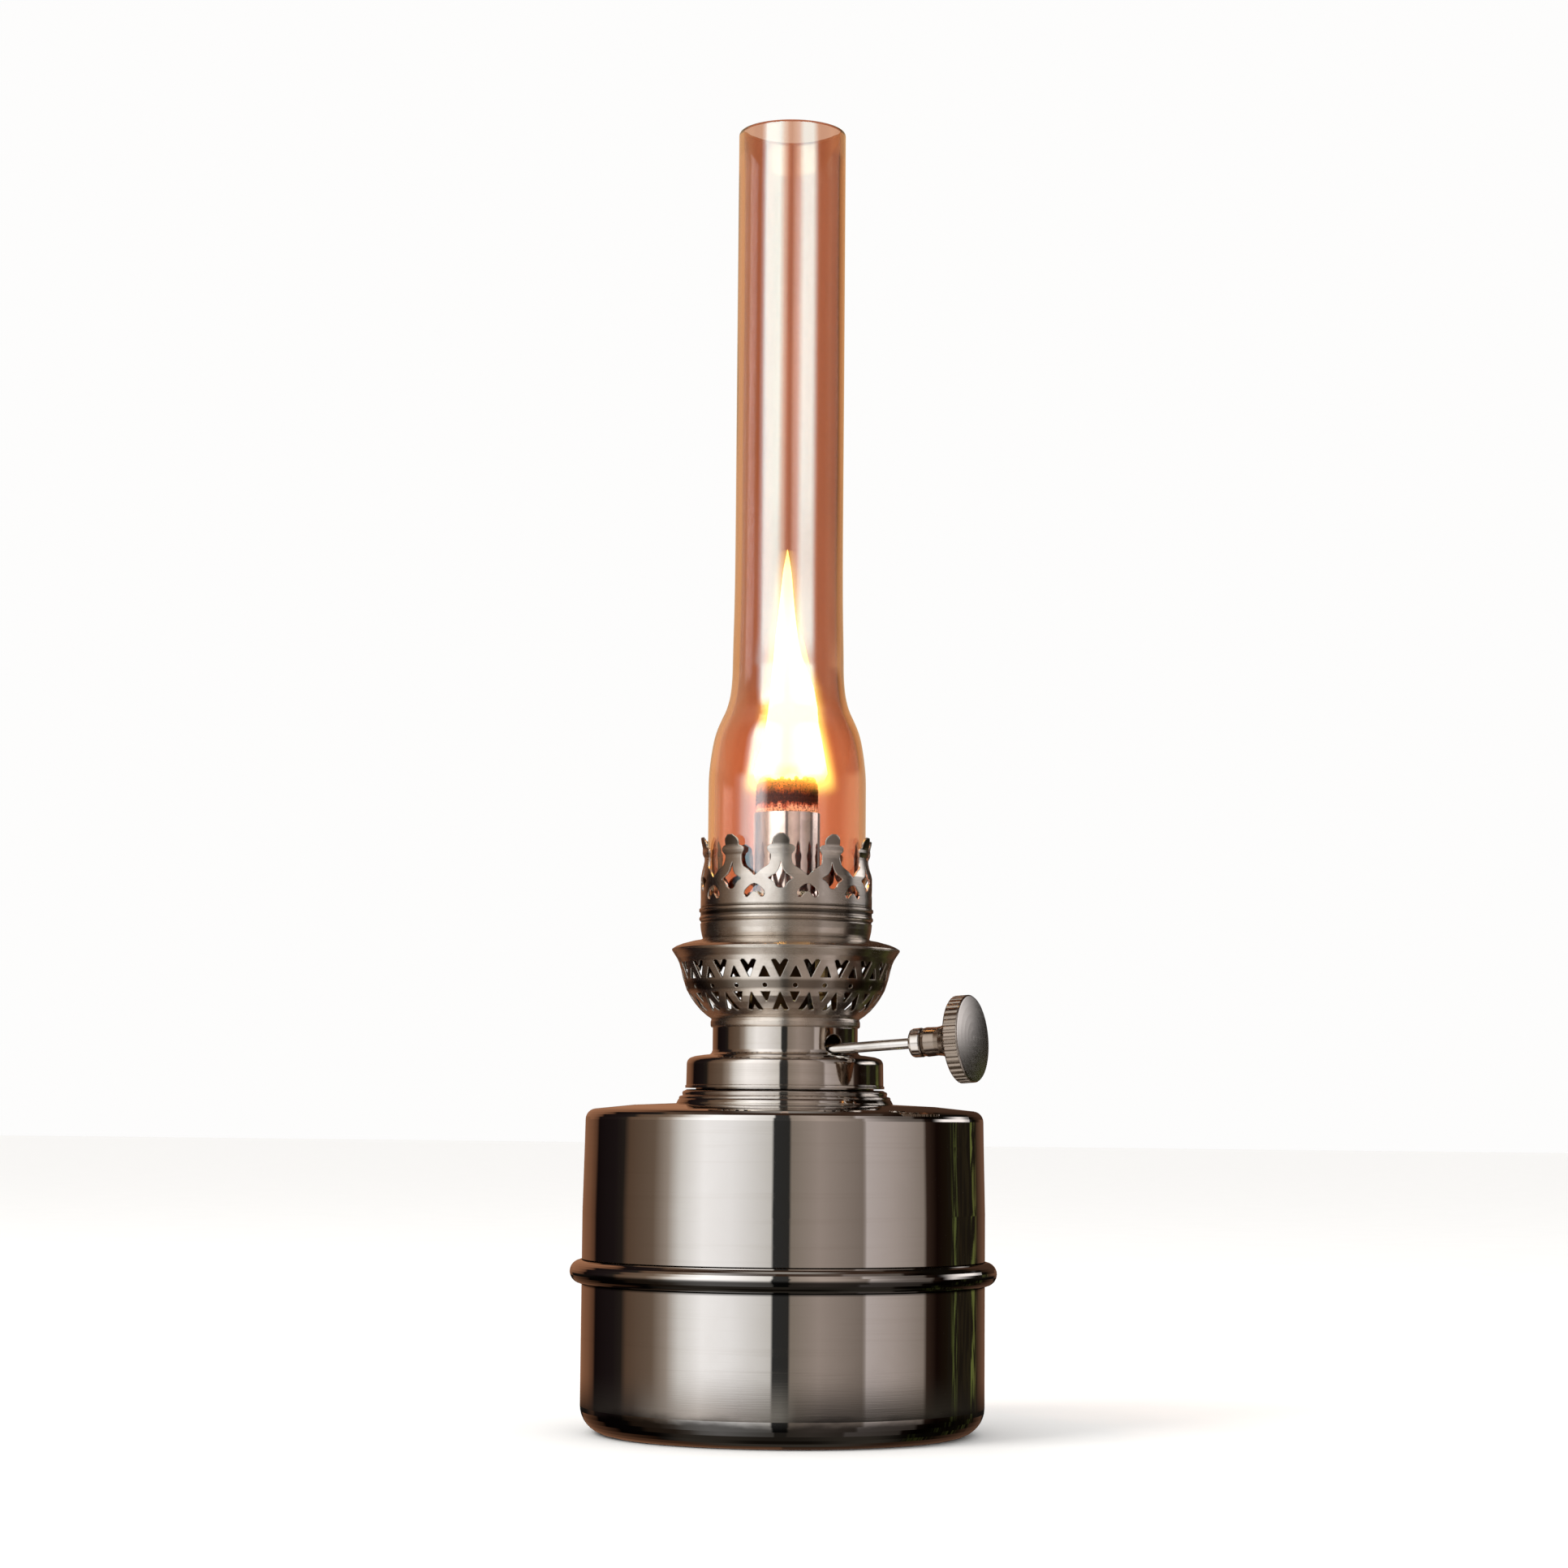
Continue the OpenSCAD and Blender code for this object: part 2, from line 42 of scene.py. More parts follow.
# Camera, measured from the lamp's axis and the surface it stands on
CAMERA_AZIMUTH = 24.5      # degrees round the lamp from -Y towards +X
CAMERA_DISTANCE = 0.839    # metres from the lamp's axis
CAMERA_HEIGHT = 0.074
CAMERA_PITCH = 5.5         # degrees upwards
CAMERA_ROLL = 0.47         # degrees, leans the lamp to the right
CAMERA_LENS = 80.1         # millimetres, on a sensor 36 mm wide
CAMERA_SHIFT = -0.0021

# What polished metal sees round the lamp at eye level: degrees to the right of the camera, and the
# light's colour there. Between two rows the colour runs smoothly.
STUDIO = [
    (-180, (0.30, 0.14, 0.075)),
    (-146, (0.19, 0.085, 0.045)),
    (-137, (0.10, 0.045, 0.025)),
    (-134, (0.007, 0.004, 0.004)),
    (-112, (0.012, 0.008, 0.008)),
    (-104, (0.02, 0.015, 0.012)),
    (-99, (0.10, 0.06, 0.038)),
    (-79, (0.15, 0.105, 0.075)),
    (-69, (0.34, 0.285, 0.24)),
    (-60, (0.76, 0.74, 0.71)),
    (-46, (1.08, 1.07, 1.07)),
    (-30, (0.98, 0.97, 0.97)),
    (-6.5, (0.64, 0.62, 0.59)),
    (-5.9, (0.03, 0.03, 0.03)),
    (2.9, (0.028, 0.027, 0.025)),
    (3.6, (0.24, 0.20, 0.165)),
    (20, (0.35, 0.29, 0.255)),
    (46, (0.21, 0.17, 0.145)),
    (47.5, (0.52, 0.46, 0.44)),
    (65, (0.42, 0.36, 0.33)),
    (86, (0.26, 0.215, 0.185)),
    (88.5, (0.035, 0.02, 0.014)),
    (97, (0.007, 0.003, 0.002)),
    (110, (0.012, 0.008, 0.004)),
    (114, (0.10, 0.12, 0.035)),
    (118, (0.02, 0.014, 0.008)),
    (132, (0.02, 0.016, 0.008)),
    (138, (0.13, 0.15, 0.04)),
    (144, (0.045, 0.025, 0.014)),
    (158, (0.14, 0.07, 0.042)),
]
DOORWAY = (1.25, 1.17, 1.14)           # a pale opening on the right, above eye level
DARK_LEAVES = (0.012, 0.009, 0.006)    # between the green streaks on the right
CEILING = (0.045, 0.024, 0.015)
OVERHEAD = (0.30, 0.275, 0.25)         # a paler patch straight above the lamp
NEAR_TABLE = (0.22, 0.19, 0.155)       # what metal that faces steeply down mirrors
UNDERNEATH = (0.05, 0.04, 0.03)        # straight down
# The table that the lamp stands on, as a vertical wall mirrors it
TABLE = [
    (-150, (0.015, 0.012, 0.010)),
    (-107, (0.030, 0.025, 0.022)),
    (-93, (0.060, 0.050, 0.044)),
    (-75, (0.22, 0.19, 0.165)),
    (-48, (0.50, 0.45, 0.41)),
    (-24, (0.28, 0.25, 0.23)),
    (-1, (0.19, 0.18, 0.16)),
    (8, (0.08, 0.07, 0.06)),
    (22, (0.055, 0.047, 0.043)),
    (90, (0.030, 0.026, 0.020)),
    (150, (0.012, 0.010, 0.008)),
]

# What the glass mirrors, as shares of WINDOW: first level with its bulb, then level with its tube
BULB_STUDIO = [
    (-180, (0.070, 0.045, 0.025)),
    (-138, (0.080, 0.060, 0.032)),
    (-104, (0.055, 0.042, 0.024)),
    (-86, (0.005, 0.004, 0.003)),
    (-75, (0.04, 0.09, 0.11)),
    (-66, (0.20, 0.44, 0.52)),
    (-58, (0.36, 0.54, 0.63)),
    (-49, (0.54, 0.65, 0.75)),
    (-37, (0.54, 0.62, 0.68)),
    (-28, (0.07, 0.065, 0.065)),
    (40, (0.006, 0.005, 0.004)),
    (58, (0.05, 0.040, 0.024)),
    (66, (0.006, 0.005, 0.004)),
    (84, (0.01, 0.008, 0.006)),
    (106, (0.11, 0.085, 0.050)),
    (128, (0.075, 0.055, 0.030)),
    (150, (0.060, 0.045, 0.028)),
]
TUBE_STUDIO = [
    (-180, (0.070, 0.045, 0.025)),
    (-138, (0.085, 0.065, 0.040)),
    (-100, (0.065, 0.052, 0.032)),
    (-86, (0.012, 0.010, 0.008)),
    (-71, (0.003, 0.002, 0.002)),
    (-64, (0.20, 0.28, 0.32)),
    (-56, (0.80, 1.26, 1.34)),
    (-26, (0.76, 1.34, 1.40)),
    (-15, (0.44, 0.54, 0.50)),
    (-6, (0.10, 0.08, 0.07)),
    (0, (0.04, 0.03, 0.03)),
    (5, (0.18, 0.17, 0.15)),
    (14, (0.34, 0.36, 0.36)),
    (26, (0.66, 1.14, 1.20)),
    (48, (0.64, 1.10, 1.14)),
    (60, (0.10, 0.09, 0.07)),
    (66, (0.004, 0.003, 0.002)),
    (78, (0.004, 0.003, 0.002)),
    (94, (0.035, 0.030, 0.020)),
    (108, (0.012, 0.009, 0.006)),
    (127, (0.008, 0.006, 0.004)),
    (140, (0.045, 0.030, 0.015)),
    (156, (0.070, 0.045, 0.022)),
]
WINDOW = 11.0
ABOVE_GLASS = (0.05, 0.045, 0.04)
BELOW_GLASS = (0.02, 0.015, 0.012)

TINT_UNDONE = (3.2, 11.5, 30.0)    # makes up for two passes through the tinted glass
BACKGROUND = (0.985, 0.98, 0.975)  # what the eye sees behind the lamp
SOFT_LIGHT = (1.12, 1.11, 1.1)     # the light that falls from all round


# ---------- node helpers ----------

class Nodes:
    """A node tree with short calls for making and joining nodes."""

    def __init__(self, tree):
        self.tree = tree
        tree.nodes.clear()

    def add(self, kind, **settings):
        node = self.tree.nodes.new("ShaderNode" + kind)
        for key, value in settings.items():
            setattr(node, key, value)
        return node

    def join(self, source, target):
        self.tree.links.new(source, target)

    def feed(self, value, socket):
        """Joins a socket, or sets a plain value."""
        if isinstance(value, bpy.types.NodeSocket):
            self.join(value, socket)
        elif value is not None:
            socket.default_value = value

    def math(self, operation, a, b=None, c=None):
        node = self.add("Math", operation=operation)
        for value, socket in zip((a, b, c), node.inputs):
            self.feed(value, socket)
        return node.outputs[0]

    def mix(self, factor, a, b, blend="MIX"):
        node = self.add("Mix", data_type="RGBA", blend_type=blend, clamp_factor=True)
        for value, socket in ((factor, node.inputs[0]), (a, node.inputs[6]), (b, node.inputs[7])):
            self.feed(rgba(value) if isinstance(value, tuple) else value, socket)
        return node.outputs[2]

    def span(self, value, low, high, to_low=0.0, to_high=1.0, smooth=True):
        """value from low to high, turned into to_low to to_high and held there."""
        node = self.add("MapRange", interpolation_type="SMOOTHSTEP" if smooth else "LINEAR")
        for v, socket in zip((value, low, high, to_low, to_high), node.inputs):
            self.feed(v, socket)
        return node.outputs[0]

    def ramp(self, factor, stops, interpolation="LINEAR"):
        node = self.add("ValToRGB")
        node.color_ramp.interpolation = interpolation
        elements = node.color_ramp.elements
        while len(elements) < len(stops):
            elements.new(0.5)
        for element, (place, colour) in zip(elements, stops):
            element.position = place
            element.color = rgba(colour)
        self.feed(factor, node.inputs[0])
        return node.outputs[0]

    def place(self, scale=(1, 1, 1)):
        """Object coordinates in metres, stretched by scale."""
        where = self.add("TexCoord").outputs["Object"]
        node = self.add("Mapping")
        self.join(where, node.inputs["Vector"])
        node.inputs["Scale"].default_value = scale
        return node.outputs[0]

    def noise(self, vector, scale, detail=3.0, rough=0.5, distort=0.0):
        node = self.add("TexNoise")
        self.feed(vector, node.inputs["Vector"])
        node.inputs["Scale"].default_value = scale
        node.inputs["Detail"].default_value = detail
        node.inputs["Roughness"].default_value = rough
        node.inputs["Distortion"].default_value = distort
        return node.outputs[0]

    def height(self):
        """Height above the surface that the lamp stands on, in millimetres, at rest."""
        parts = self.add("SeparateXYZ")
        self.join(self.add("TexCoord").outputs["Object"], parts.inputs[0])
        return self.math("MULTIPLY", parts.outputs[2], 1 / MM)

    def facing_axis(self):
        """1 where a face looks inwards, at the lamp's axis, and 0 where it looks out."""
        where = self.add("TexCoord")
        level = self.add("VectorMath", operation="MULTIPLY")
        self.join(where.outputs["Object"], level.inputs[0])
        level.inputs[1].default_value = (1, 1, 0)
        outward = self.add("VectorMath", operation="NORMALIZE")
        self.join(level.outputs[0], outward.inputs[0])
        dot = self.add("VectorMath", operation="DOT_PRODUCT")
        self.join(outward.outputs[0], dot.inputs[0])
        self.join(where.outputs["Normal"], dot.inputs[1])
        return self.span(dot.outputs["Value"], -0.7, -0.3, 1.0, 0.0)

    def bump(self, height, distance, below=None):
        """A normal from a height between 0 and 1, distance metres deep, on top of the normal below it."""
        node = self.add("Bump")
        node.inputs["Strength"].default_value = 1.0
        node.inputs["Distance"].default_value = distance
        self.feed(height, node.inputs["Height"])
        if below is not None:
            self.join(below, node.inputs["Normal"])
        return node.outputs[0]


def rgba(colour):
    return (*colour[:3], 1.0)


def horizon(rows):
    """Rows of azimuth in degrees and colour, as the stops of a ramp that runs from -180 to 180."""
    return [(azimuth / 360 + 0.5, colour) for azimuth, colour in rows]


def new_material(name):
    material = bpy.data.materials.new(name)
    material.use_nodes = True
    n = Nodes(material.node_tree)
    shader = n.add("BsdfPrincipled")
    output = n.add("OutputMaterial")
    n.join(shader.outputs[0], output.inputs["Surface"])
    return material, n, shader, output


# ---------- materials ----------

SPINDLE = (0.9976, 0, 0.0698)   # direction in which the spindle points
SHADED_BRASS = (0.15, 0.085, 0.04)    # brass inside the stampings and low in the wick tube, darkened as painted shade of the burner's inside
EDGE_HIGHLIGHT = (0.92, 0.88, 0.8)      # painted highlight: the plate's colour lightened along the cut edges of the stampings
HOLLOW_REACH = 1.6      # millimetres over which hollows are darkened: painted shade, with grime
EDGE_REACH = 0.45       # how far from an edge the painted highlight reaches
EDGE_ROUNDING = 0.32    # radius of the edges of the stampings, as the light shows them
# Painted shade in the basket's dotted band and in the grooves of the band under the coronet: the lowest and
# highest point of each in millimetres, and the share of the metal's colour that shows there
BASKET_SHADE_BANDS = [(104.6, 106.7, 0.5), (120.9, 121.3, 0.5), (122.6, 123.5, 0.22), (124.35, 124.85, 0.5)]


def plated(name, bright, dull, gloss, wear, lines=0.02, ripple=0.0, recess=0.0, cloudy=0.8, edges=0.0,
           lined=False, foot=None, flank=None, dark=()):
    """Nickel plate. gloss and wear are the roughness of clean and of rubbed metal, lines the depth in
    millimetres of the turning marks, ripple of the slow waves in the sheet, recess how dark the painted
    shade and grime in hollows go, cloudy how much the tarnish shows in patches, edges how bright the painted
    highlight along cut edges is. lined metal is dark brass inside, darkened as painted shade, foot is the
    height span over which the painted shade and tarnish of a foot fade, flank is the colour of the faces
    that don't face along the spindle, and dark holds the bands of painted shade: the heights of each band's
    edges and the share of its colour that the metal keeps there."""
    material, n, shader, _ = new_material(name)
    cloud = n.noise(n.place(), 60.0, 5.0, 0.6, 0.4)
    fine = n.noise(n.place(), 900.0, 4.0, 0.7)
    marks = n.noise(n.place((60, 60, 5200)), 1.0, 2.0, 0.6)
    streaks = n.noise(n.place((14, 14, 700)), 1.0, 3.0, 0.6)
    patch = n.math("MULTIPLY", n.span(cloud, 0.38, 0.68), cloudy)
    speck = n.math("MULTIPLY", n.span(fine, 0.52, 0.75), cloudy * 0.55)
    rubbed = n.math("MULTIPLY", n.span(streaks, 0.45, 0.75), 0.45)
    worn = n.math("MAXIMUM", n.math("MAXIMUM", patch, speck), rubbed)
    colour = n.mix(worn, bright, dull)
    rough = n.span(worn, 0.0, 1.0, gloss, wear, smooth=False)
    rough = n.math("ADD", rough, n.math("MULTIPLY", n.math("SUBTRACT", marks, 0.5), gloss * 0.5))
    if recess > 0:
        # Painted shade: ambient occlusion darkens hollows towards a grime colour.
        hollow = n.add("AmbientOcclusion", samples=6, inside=False)
        hollow.inputs["Distance"].default_value = HOLLOW_REACH * MM
        shade = n.span(hollow.outputs["AO"], 0.2, 0.85, 1.0, 0.0)
        hollow_shade_and_grime = tuple(0.2 * c * t for c, t in zip(dull, (1.0, 0.84, 0.66)))
        colour = n.mix(n.math("MULTIPLY", shade, recess), colour, hollow_shade_and_grime)
    # Bands of painted shade, by height.
    for low, high, keep in dark:
        soft = min(0.4, (high - low) / 3)
        band = n.math("MULTIPLY", n.span(n.height(), low - soft, low + soft),
                      n.span(n.height(), high - soft, high + soft, 1.0, 0.0))
        colour = n.mix(band, colour, tuple(keep * c for c in dull))
    if edges > 0:
        # Painted highlight: the plate is lightened, and made a little smoother, along cut edges.
        rim = n.add("AmbientOcclusion", samples=6, inside=True)
        rim.inputs["Distance"].default_value = EDGE_REACH * MM
        edge_highlight = n.math("MULTIPLY", n.span(rim.outputs["AO"], 0.4, 0.85, 1.0, 0.0), edges)
        colour = n.mix(edge_highlight, colour, EDGE_HIGHLIGHT)
        rough = n.math("MULTIPLY", rough, n.math("SUBTRACT", 1.0, n.math("MULTIPLY", edge_highlight, 0.3)))
    # Painted shade towards the foot, standing in for the shaded table it mirrors, with some tarnish.
    if foot is not None:
        low, high = foot
        uneven_edge = n.noise(n.place((1, 1, 3)), 45.0, 4.0, 0.6)
        uneven_edge = n.math("MULTIPLY", n.math("SUBTRACT", uneven_edge, 0.5), 5.0)
        foot_shade = n.span(n.math("ADD", n.height(), uneven_edge), low, high, 1.0, 0.0)
        colour = n.mix(foot_shade, colour, tuple(0.13 * c for c in dull))
    if flank is not None:
        along = n.add("VectorMath", operation="DOT_PRODUCT")
        n.join(n.add("TexCoord").outputs["Normal"], along.inputs[0])
        along.inputs[1].default_value = SPINDLE
        colour = n.mix(n.span(along.outputs["Value"], 0.35, 0.75, 1.0, 0.0), colour, flank)
    if lined:
        # Painted shade: faces that look in at the lamp's axis take the dark brass.
        inside = n.facing_axis()
        colour = n.mix(inside, colour, SHADED_BRASS)
        rough = n.math("MAXIMUM", rough, n.math("MULTIPLY", inside, 0.55))
    n.join(colour, shader.inputs["Base Color"])
    shader.inputs["Metallic"].default_value = 1.0
    n.join(rough, shader.inputs["Roughness"])
    rounded = None
    if edges > 0:
        bevel = n.add("Bevel", samples=4)
        bevel.inputs["Radius"].default_value = EDGE_ROUNDING * MM
        rounded = bevel.outputs[0]
    normal = n.bump(marks, lines * MM * 0.1, below=rounded)
    if ripple > 0:
        normal = n.bump(n.noise(n.place((1, 1, 0.35)), 55.0, 1.0), ripple * MM, below=normal)
    n.join(normal, shader.inputs["Normal"])
    return material


def tube_material(seat):
    """The wick tube: bright where it stands in the glass, dark brass below the gallery's floor and on its
    inner faces, darkened there as painted shade.
    """
    material, n, shader, _ = new_material("wick_tube")
    marks = n.noise(n.place((60, 60, 5200)), 1.0, 2.0, 0.6)
    cloud = n.noise(n.place(), 160.0, 4.0, 0.6)
    # painted shade: below the gallery's floor and on inner faces the tube turns dark brass
    below = n.span(n.height(), seat - 1.0, seat + 0.5, 1.0, 0.0)
    below = n.math("MAXIMUM", below, n.facing_axis())
    clean = n.mix(n.span(cloud, 0.35, 0.7), (0.76, 0.73, 0.70), (0.62, 0.58, 0.54))
    n.join(n.mix(below, clean, SHADED_BRASS), shader.inputs["Base Color"])
    shader.inputs["Metallic"].default_value = 1.0
    n.join(n.mix(below, (0.09,) * 3, (0.5,) * 3), shader.inputs["Roughness"])
    n.join(n.bump(marks, 0.002 * MM), shader.inputs["Normal"])
    return material


def brass_material():
    return plated("brass", (0.74, 0.52, 0.22), (0.42, 0.27, 0.11), 0.22, 0.5, lines=0.05, recess=0.5)


def cork_material():
    material, n, shader, _ = new_material("cork")
    cells = n.add("TexVoronoi")
    n.join(n.place(), cells.inputs["Vector"])
    cells.inputs["Scale"].default_value = 900.0
    grain = n.noise(n.place(), 1400.0, 4.0, 0.7)
    colour = n.mix(n.span(grain, 0.35, 0.7), (0.36, 0.2, 0.09), (0.13, 0.065, 0.03))
    n.join(colour, shader.inputs["Base Color"])
    shader.inputs["Roughness"].default_value = 0.85
    n.join(n.bump(cells.outputs["Distance"], 0.08 * MM), shader.inputs["Normal"])
    return material


def wick_material(name, tube_top, wick_top):
    """Cotton: cream below, charred above the tube's rim, with glowing threads at the top. Near the tube's
    rim the cream cotton glows too: painted light from the flame.
    """
    material, n, shader, _ = new_material(name)
    frayed = n.noise(n.place((1, 1, 0.35)), 760.0, 3.0, 0.6)
    ragged = n.math("MULTIPLY", n.math("SUBTRACT", frayed, 0.5), 4.5)
    level = n.math("ADD", n.height(), ragged)
    share = n.span(level, tube_top - 1.0, wick_top + 1.4, smooth=False)
    char = n.ramp(share, [
        (0.0, (0.62, 0.55, 0.44)), (0.14, (0.9, 0.7, 0.55)), (0.26, (0.42, 0.16, 0.09)),
        (0.34, (0.06, 0.025, 0.026)), (0.56, (0.045, 0.016, 0.016)), (0.70, (0.20, 0.06, 0.02)),
        (0.88, (0.42, 0.13, 0.03)), (1.0, (0.20, 0.07, 0.02))])
    threads = n.noise(n.place(), 2600.0, 3.0, 0.6)
    n.join(n.mix(n.span(threads, 0.3, 0.75), char, (0.02, 0.012, 0.01)), shader.inputs["Base Color"])
    shader.inputs["Roughness"].default_value = 0.95
    # painted light: the glow near the tube's rim stands in for the flame lighting the cream cotton
    glow = n.ramp(share, [
        (0.0, (0, 0, 0)), (0.10, (0.75, 0.62, 0.5)), (0.21, (1.1, 0.95, 0.85)), (0.29, (0.5, 0.16, 0.1)),
        (0.35, (0.03, 0.008, 0.008)), (0.58, (0.04, 0.008, 0.006)), (0.70, (0.4, 0.12, 0.02)),
        (0.86, (0.9, 0.36, 0.05)), (1.0, (1.0, 0.55, 0.1))])
    n.join(n.mix(n.span(threads, 0.46, 0.66), glow, (0.0, 0.0, 0.0)), shader.inputs["Emission Color"])
    shader.inputs["Emission Strength"].default_value = 1.0
    n.join(n.bump(threads, 0.12 * MM), shader.inputs["Normal"])
    return material


GLASS_TINT = (0.675, 0.358, 0.232)
FLAME_LIT_TINT = (0.83, 0.405, 0.245)    # the bulb's tint: painted light from the flame, brighter and more orange


def glass_material(shoulder):
    """Clear glass with a warm tint, which lets lamp light through to what it holds. The bulb's tint is
    brighter and more orange, as painted light from the flame.
    """
    material, n, shader, output = new_material("chimney_glass")
    smoke = n.noise(n.place((1, 1, 0.2)), 120.0, 4.0, 0.6)
    # painted light: the bulb near the flame takes a brighter, more orange tint
    flame_lit = n.span(n.height(), shoulder - 12, shoulder + 10, 1.0, 0.0)
    tint = n.mix(flame_lit, GLASS_TINT, FLAME_LIT_TINT)
    tint = n.mix(n.span(smoke, 0.35, 0.7), tint, n.mix(1.0, tint, (0.94, 0.94, 0.94), "MULTIPLY"))
    n.join(tint, shader.inputs["Base Color"])
    shader.inputs["Roughness"].default_value = 0.0
    shader.inputs["IOR"].default_value = 1.5
    shader.inputs["Transmission Weight"].default_value = 1.0
    ripple = n.noise(n.place((1, 1, 0.06)), 240.0, 1.0, 0.4)
    n.join(n.bump(ripple, 0.05 * MM), shader.inputs["Normal"])
    clear = n.add("BsdfTransparent")
    clear.inputs[0].default_value = rgba((0.93, 0.85, 0.8))
    chosen = n.add("MixShader")
    n.join(n.add("LightPath").outputs["Is Shadow Ray"], chosen.inputs[0])
    n.join(shader.outputs[0], chosen.inputs[1])
    n.join(clear.outputs[0], chosen.inputs[2])
    n.join(chosen.outputs[0], output.inputs["Surface"])
    return material


def flame_material(name, colours, strength, cover):
    """Light of its own. colours and cover are rows of height in millimetres and value."""
    material, n, _, output = new_material(name)
    low, high = colours[0][0], colours[-1][0]
    lick = n.noise(n.place((1, 1, 0.5)), 420.0, 3.0, 0.6)
    lick = n.math("MULTIPLY", n.math("SUBTRACT", lick, 0.5), 2.4)
    share = n.span(n.math("ADD", n.height(), lick), low, high, smooth=False)
    colour = n.ramp(share, [((z - low) / (high - low), c) for z, c in colours], "EASE")
    glow = n.add("Emission")
    n.join(colour, glow.inputs["Color"])
    glow.inputs["Strength"].default_value = strength
    clear = n.add("BsdfTransparent")
    mixed = n.add("MixShader")
    alpha = n.ramp(share, [((z - low) / (high - low), (a, a, a)) for z, a in cover], "EASE")
    n.join(alpha, mixed.inputs[0])
    n.join(clear.outputs[0], mixed.inputs[1])
    n.join(glow.outputs[0], mixed.inputs[2])
    n.join(mixed.outputs[0], output.inputs["Surface"])
    material.cycles.emission_sampling = "NONE"
    return material


# ---------- meshes ----------

def mesh_object(name, points, faces, material):
    mesh = bpy.data.meshes.new(name)
    mesh.from_pydata([tuple(p) for p in points], [], faces)
    mesh.validate()
    mesh.polygons.foreach_set("use_smooth", [True] * len(mesh.polygons))
    mesh.materials.append(material)
    obj = bpy.data.objects.new(name, mesh)
    bpy.context.scene.collection.objects.link(obj)
    return obj


def through(points, steps):
    """A smooth curve through points, as a Catmull-Rom spline with that many steps between two points."""
    p = np.array(points, float)
    ends = np.vstack([2 * p[0] - p[1], p, 2 * p[-1] - p[-2]])
    out = []
    for i in range(len(p) - 1):
        a, b, c, d = ends[i:i + 4]
        for t in np.arange(steps) / steps:
            out.append(0.5 * (2 * b + (c - a) * t + (2 * a - 5 * b + 4 * c - d) * t**2
                              + (3 * b - a - 3 * c + d) * t**3))
    out.append(p[-1])
    return np.array(out)


def turned(name, outline, segments, material, bend=None, poles=False):
    """An outline of (radius, height) rows, turned round Z. bend may move the points of each ring. With
    poles the outline runs from a point on the axis to another, and without them it closes on itself."""
    turns = np.arange(segments) * 2 * math.pi / segments
    r, z = np.array(outline).T
    x = r[:, None] * np.cos(turns)
    y = r[:, None] * np.sin(turns)
    points = np.stack([x, y, np.repeat(z[:, None], segments, 1)], -1)
    if bend is not None:
        points = bend(points)
    rows = len(outline)
    faces = []
    for i in range(rows - 1 if poles else rows):
        for j in range(segments):
            k, m = (i + 1) % rows, (j + 1) % segments
            faces.append((i * segments + j, i * segments + m, k * segments + m, k * segments + j))
    piece = mesh_object(name, points.reshape(-1, 3) * MM, faces, material)
    if poles:
        form = bmesh.new()
        form.from_mesh(piece.data)
        bmesh.ops.remove_doubles(form, verts=form.verts, dist=1e-6)
        form.to_mesh(piece.data)
        form.free()
    return piece


# Outer face of the chimney: height above its seat and radius, in millimetres, as in the CAD
GLASS_FACE = [
    (0.5, 19.0), (12, 19.0), (24.5, 19.0), (30.5, 18.95), (34.5, 18.6), (37.9, 18.1), (40.3, 17.6),
    (42.5, 16.9), (44.7, 15.95), (46.9, 14.95), (49.2, 14.25), (51.7, 13.8), (55.5, 13.5),
    (61.5, 13.4), (81.5, 13.1), (130, 13.1), (189.2, 13.1)]
GLASS_WALL = 1.5
SHOULDER = 46


def make_chimney():
    """The glass as one smooth turned wall with a fire-polished rim."""
    low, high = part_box("chimney")
    seat, top = low.z / MM, high.z / MM
    face = through([(r, seat + h) for h, r in GLASS_FACE], 6)
    slope = np.gradient(face, axis=0)
    slope /= np.linalg.norm(slope, axis=1)[:, None]
    inner = face + GLASS_WALL * np.stack([-slope[:, 1], slope[:, 0]], 1)
    inner[:, 1] = np.clip(inner[:, 1], seat + 0.5, top - 0.8)
    middle = face[-1, 0] - GLASS_WALL / 2
    arcs = np.radians(np.linspace(20, 160, 8))
    rim = [(middle + GLASS_WALL / 2 * math.cos(a), top - 0.75 + 0.75 * math.sin(a)) for a in arcs]
    foot = [(17.8, seat + 0.1), (18.1, seat), (18.5, seat), (18.85, seat + 0.15)]
    outline = np.vstack([face, rim, inner[::-1], foot])
    glass = turned("chimney_glass", outline, 192, glass_material(seat + SHOULDER))
    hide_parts("chimney")
    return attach(glass, "chimney")


